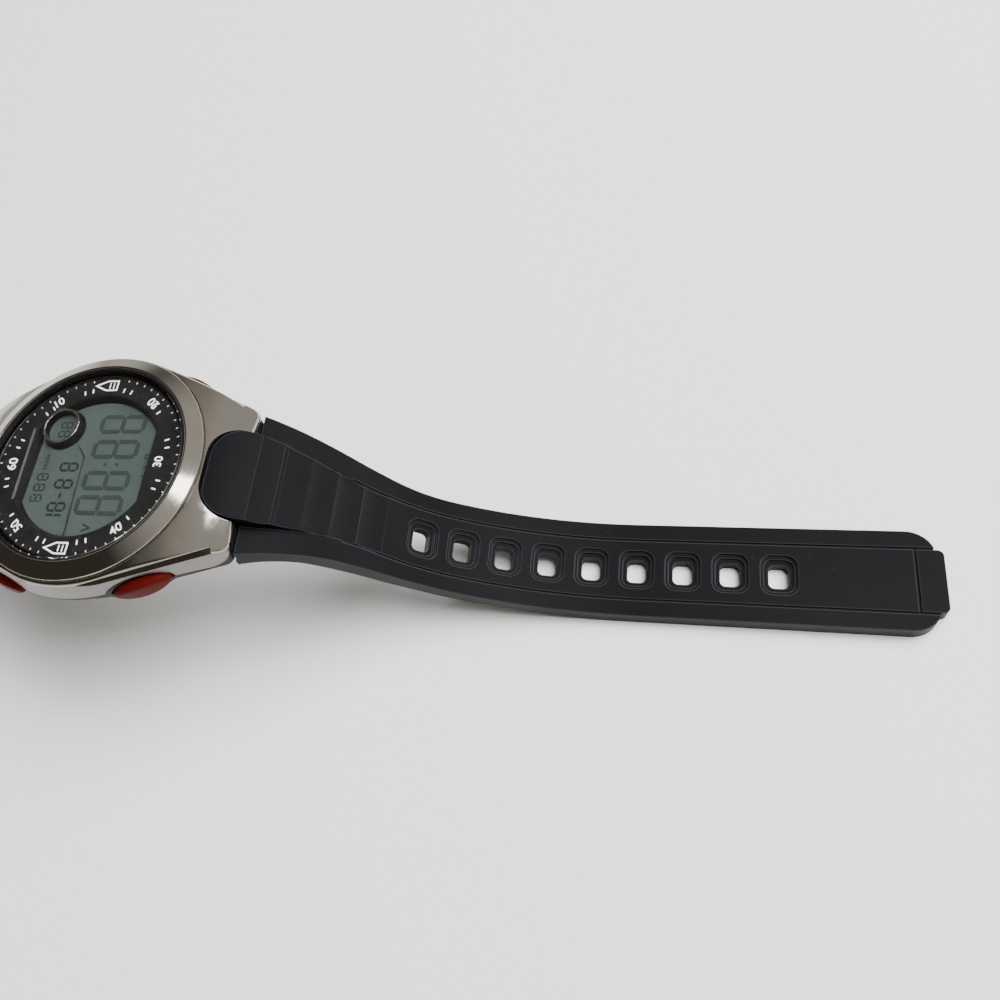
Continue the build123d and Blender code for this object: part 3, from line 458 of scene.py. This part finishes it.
# Display: two sheets of glass with liquid crystal between them, and a satin
# reflector behind that gives the grey-green ground a fine silvery grain, drawn
# 0.2 mm across.
reflector, tree, output = new_material("reflective_liquid_crystal")
places = surface_places(tree)
cloud = add_node(tree, "ShaderNodeTexNoise", {"Vector": places, "Scale": 160.0, "Detail": 2.0})
silver = add_node(
    tree, "ShaderNodeTexNoise", {"Vector": places, "Scale": 5000.0, "Detail": 2.0}
)
ground = add_node(
    tree,
    "ShaderNodeMix",
    {0: cloud.outputs["Fac"], 6: colour("#303736"), 7: colour("#373e3c")},
    data_type="RGBA",
)
speckled = add_node(
    tree,
    "ShaderNodeMapRange",
    {
        "Value": silver.outputs["Fac"],
        "From Min": 0.3,
        "From Max": 0.7,
        "To Min": 0.94,
        "To Max": 1.05,
    },
)
grainy = add_node(
    tree,
    "ShaderNodeVectorMath",
    {0: ground.outputs[2], "Scale": speckled.outputs[0]},
    operation="SCALE",
)
reflector_surface = add_node(
    tree,
    "ShaderNodeBsdfPrincipled",
    {"Base Color": grainy.outputs[0], "Roughness": 0.3, "Specular IOR Level": 0.1},
)
tree.links.new(reflector_surface.outputs[0], output.inputs["Surface"])
dress("lcd_panel", reflector)

# Segments: liquid crystal switched dark. The small figures on the 12 o'clock
# side of the divider are denser than the large ones, which look faint.
switched, tree, output = new_material("switched_liquid_crystal")
places = surface_places(tree)
split = add_node(tree, "ShaderNodeSeparateXYZ", {0: places})
row = add_node(
    tree,
    "ShaderNodeMapRange",
    {"Value": split.outputs["X"], "From Min": -0.0012, "From Max": -0.0008},
)
segment_shade = add_node(
    tree,
    "ShaderNodeMix",
    {0: row.outputs[0], 6: colour("#171b1a"), 7: colour("#232927")},
    data_type="RGBA",
)
switched_surface = add_node(
    tree,
    "ShaderNodeBsdfPrincipled",
    {"Base Color": segment_shade.outputs[2], "Roughness": 0.35, "Specular IOR Level": 0.1},
)
tree.links.new(switched_surface.outputs[0], output.inputs["Surface"])
dress("lcd_segments", switched)


# Divider and small marks on the display glass: dark ink, screen printed, drawn
# 0.01 mm thick, with plain shapes that say nothing.
def stroke(points, width, closed=False):
    """Outlines of the pieces of a line in mm, with its corners mitred."""
    count = len(points)
    sides = []
    for i, point in enumerate(points):
        here = Vector(point)
        before = here - Vector(points[i - 1]) if closed or i > 0 else None
        after = Vector(points[(i + 1) % count]) - here if closed or i < count - 1 else None
        before = (before or after).normalized()
        after = (after or before).normalized()
        along = (before + after).normalized()
        across = Vector((-along.y, along.x)) * (width / 2) / max(along.dot(before), 0.3)
        sides.append((here + across, here - across))
    pairs = zip(sides, sides[1:] + sides[:1]) if closed else zip(sides, sides[1:])
    return [(a[0], b[0], b[1], a[1]) for a, b in pairs]


def printed(name, outlines, height, thickness, material):
    """Thin patches on the watch face, from outlines in mm to the right and down."""
    mesh = bpy.data.meshes.new(name)
    corners = []
    faces = []
    for outline in outlines:
        first = len(corners)
        count = len(outline)
        for level in (height, height + thickness):
            corners += [(down / 1000, right / 1000, level / 1000) for right, down in outline]
        faces.append(tuple(range(first, first + count)))
        faces.append(tuple(range(first + 2 * count - 1, first + count - 1, -1)))
        for i in range(count):
            j = (i + 1) % count
            faces.append((first + j, first + i, first + count + i, first + count + j))
    mesh.from_pydata(corners, [], faces)
    mesh.materials.append(material)
    patch = bpy.data.objects.new(name, mesh)
    bpy.context.collection.objects.link(patch)
    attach(patch, "case")


def ink(name, shade, roughness):
    """Printed ink, a little uneven in patches 0.17 mm across."""
    material, tree, output = new_material(name)
    places = surface_places(tree)
    patches = add_node(
        tree, "ShaderNodeTexNoise", {"Vector": places, "Scale": 6000.0, "Detail": 2.0}
    )
    cover = add_node(
        tree,
        "ShaderNodeMapRange",
        {
            "Value": patches.outputs["Fac"],
            "From Min": 0.3,
            "From Max": 0.7,
            "To Min": 0.86,
            "To Max": 1.0,
        },
    )
    uneven = add_node(
        tree,
        "ShaderNodeMix",
        {0: 1.0, 6: colour(shade), 7: cover.outputs[0]},
        data_type="RGBA",
        blend_type="MULTIPLY",
    )
    surface = add_node(
        tree,
        "ShaderNodeBsdfPrincipled",
        {"Base Color": uneven.outputs[2], "Roughness": roughness, "Specular IOR Level": 0.3},
    )
    tree.links.new(surface.outputs[0], output.inputs["Surface"])
    return material


dark_ink = ink("dark_display_ink", "#080a09", 0.5)
display_top = 9.285
display_ink_thickness = 0.01
printed(
    "display_divider",
    stroke([(-12.2, -0.85), (2.0, -1.65), (4.0, -3.3)], 0.24),
    display_top,
    display_ink_thickness,
    dark_ink,
)
display_marks = []
for points, width in (
    ([(-11.3, 2.0), (-10.7, 3.4)], 0.28),
    ([(-10.7, 3.4), (-10.1, 2.0)], 0.28),
    ([(-1.5, 9.7), (-1.5, 10.5), (-0.7, 10.5)], 0.26),
    ([(-0.2, 9.7), (0.3, 10.1), (-0.2, 10.5)], 0.26),
    ([(1.7, 10.5), (1.7, 9.6), (2.4, 9.6), (2.4, 10.5)], 0.28),
):
    display_marks += stroke(points, width)
tick_spacing = 0.62
for tick in range(5):
    left = -0.4 + tick_spacing * tick
    right = -0.1 + tick_spacing * tick
    display_marks += stroke([(left, -8.9), (right, -8.3)], 0.24)
    display_marks += stroke([(left, -8.3), (right, -8.3)], 0.22)
printed("display_marks", display_marks, display_top, display_ink_thickness, dark_ink)

# Dial ring: black ABS under the glass, painted satin. A thin bar is moulded above
# the window; it is coloured grey, a painted highlight for the pale line its top catches.
dress("dial_ring", moulded("black_painted_abs", "#060606", "#090909", 0.5, 0.12))
dial_top = 10.6
bar_height = 0.06
printed(
    "dial_bar",
    stroke([(-6.6, -11.45), (6.6, -11.85)], 0.42),
    dial_top,
    bar_height,
    moulded("bar_painted_highlight_abs", "#3a3a3b", "#444445", 0.4, 0.3),
)


# Figures and scale on the dial ring: white ink, pad printed, 0.02 mm thick.
# Plain minute numbers and marks, with a plain pointer at 3 and at 9 o'clock.
white_ink = ink("white_dial_ink", "#e9e9e6", 0.55)
dial_ink_thickness = 0.02


def numeral(words, right, down, height, turn):
    """Plain printed number, centred at a place in mm and turned in degrees."""
    digit_height_share = 0.64
    figure_curve = bpy.data.curves.new(f"numeral_{words}", "FONT")
    figure_curve.body = words
    figure_curve.size = height / (1000 * digit_height_share)
    figure_curve.extrude = 0.00001
    figure_curve.offset = 0.00002
    figure_curve.align_x = "CENTER"
    figure_curve.align_y = "CENTER"
    figure_curve.materials.append(white_ink)
    figure = bpy.data.objects.new(f"numeral_{words}", figure_curve)
    bpy.context.collection.objects.link(figure)
    middle = dial_top / 1000 + figure_curve.extrude
    place = Matrix.Translation((down / 1000, right / 1000, middle))
    figure.matrix_world = place @ Matrix.Rotation(math.radians(90 + turn), 4, "Z")
    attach(figure, "case")


numeral("60", -0.2, -13.75, 1.5, 0)
numeral("10", 11.6, -8.9, 1.35, -50)
numeral("20", 11.3, 9.1, 1.35, 50)
numeral("30", 0.4, 13.0, 1.3, 0)
numeral("40", -11.4, 9.0, 1.35, -50)
numeral("50", -11.3, -8.9, 1.35, 50)
bar_inner, bar_outer = 13.75, 14.55
tick_inner, tick_outer = 15.85, 16.2
under_pointer = 0.985
scale_marks = []
for minute in range(60):
    angle = math.radians(6 * minute)
    if abs(math.sin(angle)) > under_pointer:
        continue
    outward = Vector((math.sin(angle), -math.cos(angle)))
    from_number = min(minute % 10, 10 - minute % 10)
    if from_number in (2, 3):
        scale_marks += stroke([outward * bar_inner, outward * bar_outer], 0.24)
    scale_marks += stroke([outward * tick_inner, outward * tick_outer], 0.12)
for side in (-1, 1):
    pointer = [(14.0, -0.6), (14.9, -2.6), (15.8, -0.6), (15.8, 1.4), (14.0, 1.4)]
    scale_marks += stroke([(side * right, down) for right, down in pointer], 0.26, closed=True)
    for level in (0.0, 0.7):
        scale_marks += stroke([(side * 14.35, level), (side * 15.45, level)], 0.2)
printed("dial_scale", scale_marks, dial_top, dial_ink_thickness, white_ink)

# Rim of the seconds window: a thin ring of polished steel, pressed on the tube
# that stands up from the dial ring. It is the brightest metal on the dial.
dress("seconds_rim", bright_metal("polished_steel", "#cfcecb", "#e0dfdc", 0.06))

# Top shell: die-cast metal with the lugs in one piece, plated dark and
# polished. Its side is brushed round in lines, drawn 0.15 mm apart, and the
# polished parts roll a little, as hand buffing leaves them.
plating, tree, output = new_material("polished_gunmetal_plating")
places = surface_places(tree)
facing = add_node(tree, "ShaderNodeNewGeometry")
split = add_node(tree, "ShaderNodeSeparateXYZ", {0: facing.outputs["True Normal"]})
upright = add_node(tree, "ShaderNodeMath", {0: split.outputs["Z"]}, operation="ABSOLUTE")
side = add_node(
    tree,
    "ShaderNodeMapRange",
    {"Value": upright.outputs[0], "From Min": 0.2, "From Max": 0.14},
)
stretched = add_node(tree, "ShaderNodeMapping", {"Vector": places, "Scale": (60, 60, 6600)})
brush = add_node(
    tree, "ShaderNodeTexNoise", {"Vector": stretched.outputs[0], "Scale": 1.0, "Detail": 4.0}
)
roll = add_node(tree, "ShaderNodeTexNoise", {"Vector": places, "Scale": 170.0, "Detail": 1.0})
cloud = add_node(tree, "ShaderNodeTexNoise", {"Vector": places, "Scale": 900.0, "Detail": 3.0})
shade = add_node(
    tree,
    "ShaderNodeMix",
    {0: side.outputs[0], 6: colour("#a19c94"), 7: colour("#767370")},
    data_type="RGBA",
)
polish = add_node(
    tree,
    "ShaderNodeMapRange",
    {
        "Value": cloud.outputs["Fac"],
        "From Min": 0.3,
        "From Max": 0.7,
        "To Min": 0.07,
        "To Max": 0.14,
    },
)
rough = add_node(
    tree,
    "ShaderNodeMapRange",
    {
        "Value": brush.outputs["Fac"],
        "From Min": 0.3,
        "From Max": 0.7,
        "To Min": 0.24,
        "To Max": 0.4,
    },
)
finish = add_node(
    tree,
    "ShaderNodeMix",
    {0: side.outputs[0], 2: polish.outputs[0], 3: rough.outputs[0]},
    data_type="FLOAT",
)
edge = add_node(tree, "ShaderNodeBevel", {"Radius": 0.0002}, samples=8)
rolled = add_node(
    tree,
    "ShaderNodeBump",
    {
        "Height": roll.outputs["Fac"],
        "Strength": 0.6,
        "Distance": 0.0003,
        "Normal": edge.outputs[0],
    },
)
grain = add_node(
    tree,
    "ShaderNodeBump",
    {
        "Height": brush.outputs["Fac"],
        "Strength": 0.03,
        "Distance": 0.0002,
        "Normal": rolled.outputs[0],
    },
)
shell_surface = add_node(
    tree,
    "ShaderNodeBsdfPrincipled",
    {
        "Base Color": shade.outputs[2],
        "Metallic": 1.0,
        "Roughness": finish.outputs[0],
        "Normal": grain.outputs[0],
    },
)
tree.links.new(shell_surface.outputs[0], output.inputs["Surface"])
dress("case_shell", plating)

# Bezel: a turned ring of the same plated metal, lapped to a mirror on its
# cone. The turning leaves rings too fine to show, drawn 0.2 mm apart.
lapped, tree, output = new_material("turned_gunmetal_plating")
places = surface_places(tree)
turned = add_node(
    tree,
    "ShaderNodeTexNoise",
    {"W": axis_distance(tree, places), "Scale": 5000.0},
    noise_dimensions="1D",
)
gloss = add_node(
    tree,
    "ShaderNodeMapRange",
    {
        "Value": turned.outputs["Fac"],
        "From Min": 0.3,
        "From Max": 0.7,
        "To Min": 0.08,
        "To Max": 0.14,
    },
)
edge = add_node(tree, "ShaderNodeBevel", {"Radius": 0.0003}, samples=8)
bezel_surface = add_node(
    tree,
    "ShaderNodeBsdfPrincipled",
    {
        "Base Color": colour("#a8a39b"),
        "Metallic": 1.0,
        "Roughness": gloss.outputs[0],
        "Normal": edge.outputs[0],
    },
)
tree.links.new(bezel_surface.outputs[0], output.inputs["Surface"])
dress("bezel_ring", lapped)

# Glass: a flat disc of mineral glass, 1.55 mm thick, with a few faint wipe
# marks. Light passes it without a shadow, so that the dial below is lit.
glass, tree, output = new_material("mineral_glass")
places = surface_places(tree)
wiped = add_node(tree, "ShaderNodeTexNoise", {"Vector": places, "Scale": 220.0, "Detail": 3.0})
haze = add_node(
    tree,
    "ShaderNodeMapRange",
    {"Value": wiped.outputs["Fac"], "From Min": 0.5, "From Max": 0.8, "To Max": 0.04},
)
clear = add_node(
    tree,
    "ShaderNodeBsdfPrincipled",
    {
        "Base Color": colour("#ffffff"),
        "Roughness": haze.outputs[0],
        "IOR": 1.5,
        "Specular IOR Level": 0.12,
        "Transmission Weight": 1.0,
    },
)
passing = add_node(tree, "ShaderNodeBsdfTransparent", {"Color": colour("#f4f6f6")})
ray = add_node(tree, "ShaderNodeLightPath")
both = add_node(
    tree,
    "ShaderNodeMixShader",
    {0: ray.outputs["Is Shadow Ray"], 1: clear.outputs[0], 2: passing.outputs[0]},
)
tree.links.new(both.outputs[0], output.inputs["Surface"])
dress("crystal", glass)

# Push buttons: deep red acrylic caps, moulded and tumbled to a soft gloss,
# on steel stems held by spring clips.
acrylic, tree, output = new_material("red_acrylic")
places = surface_places(tree)
tumbled = add_node(
    tree, "ShaderNodeTexNoise", {"Vector": places, "Scale": 2500.0, "Detail": 3.0}
)
depth = add_node(tree, "ShaderNodeTexNoise", {"Vector": places, "Scale": 350.0, "Detail": 2.0})
red = add_node(
    tree,
    "ShaderNodeMix",
    {0: depth.outputs["Fac"], 6: colour("#430b08"), 7: colour("#52110c")},
    data_type="RGBA",
)
soft_gloss = add_node(
    tree,
    "ShaderNodeMapRange",
    {
        "Value": tumbled.outputs["Fac"],
        "From Min": 0.3,
        "From Max": 0.7,
        "To Min": 0.3,
        "To Max": 0.42,
    },
)
edge = add_node(tree, "ShaderNodeBevel", {"Radius": 0.0003}, samples=8)
acrylic_surface = add_node(
    tree,
    "ShaderNodeBsdfPrincipled",
    {
        "Base Color": red.outputs[2],
        "Roughness": soft_gloss.outputs[0],
        "Specular IOR Level": 0.06,
        "Normal": edge.outputs[0],
    },
)
tree.links.new(acrylic_surface.outputs[0], output.inputs["Surface"])
stem_steel = bright_metal("turned_steel_stem", "#b0afab", "#c5c4c0", 0.15)
for hour in (2, 4, 8, 10):
    dress(f"button_cap_{hour}", acrylic)
    dress(f"button_stem_{hour}", stem_steel)
    dress(f"button_clip_{hour}", spring_wire)

# Spring bars: stainless steel tubes with sprung tips that hold the strap
# halves between the lugs. The buckle's bar is the same.
bar_steel = bright_metal("drawn_stainless_tube", "#b8b7b3", "#cdccc8", 0.16)
for node in ("lug_spring_bars", "buckle_bar"):
    dress(node, bar_steel)

# Strap: black polyurethane resin, moulded matt, with a skin of fine pits
# 0.05 mm across, drawn 0.15 mm, and pale dust in it. A narrow groove parts the
# tongue from the wings at its sides, and is drawn 0.3 mm wide along the ribs, with a near black
# painted shadow in it.
strap_resin, tree, output = new_material("black_polyurethane")
places = surface_places(tree)
split = add_node(tree, "ShaderNodeSeparateXYZ", {0: places})
along = add_node(tree, "ShaderNodeMath", {0: split.outputs["X"]}, operation="ABSOLUTE")
across = add_node(tree, "ShaderNodeMath", {0: split.outputs["Y"]}, operation="ABSOLUTE")
ribs_start, ribs_end = 0.0280, 0.0414
tongue_half_at_start, tongue_half_at_end = 0.00755, 0.00500
tongue_side = add_node(
    tree,
    "ShaderNodeMapRange",
    {
        "Value": along.outputs[0],
        "From Min": ribs_start,
        "From Max": ribs_end,
        "To Min": tongue_half_at_start,
        "To Max": tongue_half_at_end,
    },
)
off_groove = add_node(
    tree,
    "ShaderNodeMath",
    {0: across.outputs[0], 1: tongue_side.outputs[0]},
    operation="SUBTRACT",
)
near_groove = add_node(tree, "ShaderNodeMath", {0: off_groove.outputs[0]}, operation="ABSOLUTE")
groove = add_node(
    tree,
    "ShaderNodeMapRange",
    {"Value": near_groove.outputs[0], "From Min": 0.0002, "From Max": 0.00009},
    interpolation_type="SMOOTHSTEP",
)
groove_end = add_node(
    tree,
    "ShaderNodeMapRange",
    {"Value": along.outputs[0], "From Min": 0.0425, "From Max": 0.0405},
)
groove_depth = add_node(
    tree,
    "ShaderNodeMath",
    {0: groove.outputs[0], 1: groove_end.outputs[0]},
    operation="MULTIPLY",
)
mould = add_node(tree, "ShaderNodeTexNoise", {"Vector": places, "Scale": 6600.0, "Detail": 3.0})
dust = add_node(tree, "ShaderNodeTexVoronoi", {"Vector": places, "Scale": 420.0})
speck = add_node(
    tree,
    "ShaderNodeMapRange",
    {"Value": dust.outputs["Distance"], "From Min": 0.06, "From Max": 0.04, "To Max": 0.1},
)
hand = add_node(tree, "ShaderNodeTexNoise", {"Vector": places, "Scale": 90.0, "Detail": 3.0})
black = add_node(
    tree,
    "ShaderNodeMix",
    {0: hand.outputs["Fac"], 6: colour("#0c0d0f"), 7: colour("#131417")},
    data_type="RGBA",
)
dusty = add_node(
    tree,
    "ShaderNodeMix",
    {0: speck.outputs[0], 6: black.outputs[2], 7: colour("#6b6c6e")},
    data_type="RGBA",
)
# Painted shade: the steep sides, where the mould parts, are coloured darker
skin_facing = add_node(tree, "ShaderNodeNewGeometry")
skin_split = add_node(tree, "ShaderNodeSeparateXYZ", {0: skin_facing.outputs["True Normal"]})
skin_upright = add_node(
    tree, "ShaderNodeMath", {0: skin_split.outputs["Z"]}, operation="ABSOLUTE"
)
side_shade_mask = add_node(
    tree,
    "ShaderNodeMapRange",
    {"Value": skin_upright.outputs[0], "From Min": 0.4, "From Max": 0.2},
)
side_shaded = add_node(
    tree,
    "ShaderNodeMix",
    {0: side_shade_mask.outputs[0], 6: dusty.outputs[2], 7: colour("#060607")},
    data_type="RGBA",
)
# Painted shadow: along the groove the colour goes near black, for the shade inside it
groove_painted_shadow = add_node(
    tree,
    "ShaderNodeMix",
    {0: groove_depth.outputs[0], 6: side_shaded.outputs[2], 7: colour("#020202")},
    data_type="RGBA",
)
matt = add_node(
    tree,
    "ShaderNodeMapRange",
    {
        "Value": hand.outputs["Fac"],
        "From Min": 0.3,
        "From Max": 0.7,
        "To Min": 0.4,
        "To Max": 0.52,
    },
)
# Edges and rib crests, which handling polishes, are lightened: partly wear, partly a painted
# highlight
edge = add_node(tree, "ShaderNodeBevel", {"Radius": 0.00022}, samples=8)
edge_turn = add_node(
    tree,
    "ShaderNodeVectorMath",
    {0: edge.outputs[0], 1: skin_facing.outputs["Normal"]},
    operation="DISTANCE",
)
worn = add_node(
    tree,
    "ShaderNodeMapRange",
    {"Value": edge_turn.outputs["Value"], "From Min": 0.03, "From Max": 0.16, "To Max": 0.38},
)
edge_highlighted = add_node(
    tree,
    "ShaderNodeMix",
    {0: worn.outputs[0], 6: groove_painted_shadow.outputs[2], 7: colour("#4b4d51")},
    data_type="RGBA",
)
texture = add_node(
    tree,
    "ShaderNodeBump",
    {
        "Height": mould.outputs["Fac"],
        "Strength": 0.15,
        "Distance": 0.00005,
        "Normal": edge.outputs[0],
    },
)
parted = add_node(
    tree,
    "ShaderNodeBump",
    {
        "Height": groove_depth.outputs[0],
        "Strength": 0.8,
        "Distance": 0.0002,
        "Normal": texture.outputs[0],
    },
    invert=True,
)
strap_surface = add_node(
    tree,
    "ShaderNodeBsdfPrincipled",
    {
        "Base Color": edge_highlighted.outputs[2],
        "Roughness": matt.outputs[0],
        "Specular IOR Level": 0.14,
        "Normal": parted.outputs[0],
    },
)
tree.links.new(strap_surface.outputs[0], output.inputs["Surface"])
for node in ("long_strap", "short_strap", "free_keeper"):
    dress(node, strap_resin)

# Buckle: stainless steel, cast and polished. The frame and its prong turn on
# the same bar, at the end of the short half.
cast_steel = bright_metal("polished_cast_steel", "#bfbdb8", "#d3d1cc", 0.08)
for node in ("buckle_frame", "buckle_prong"):
    dress(node, cast_steel)
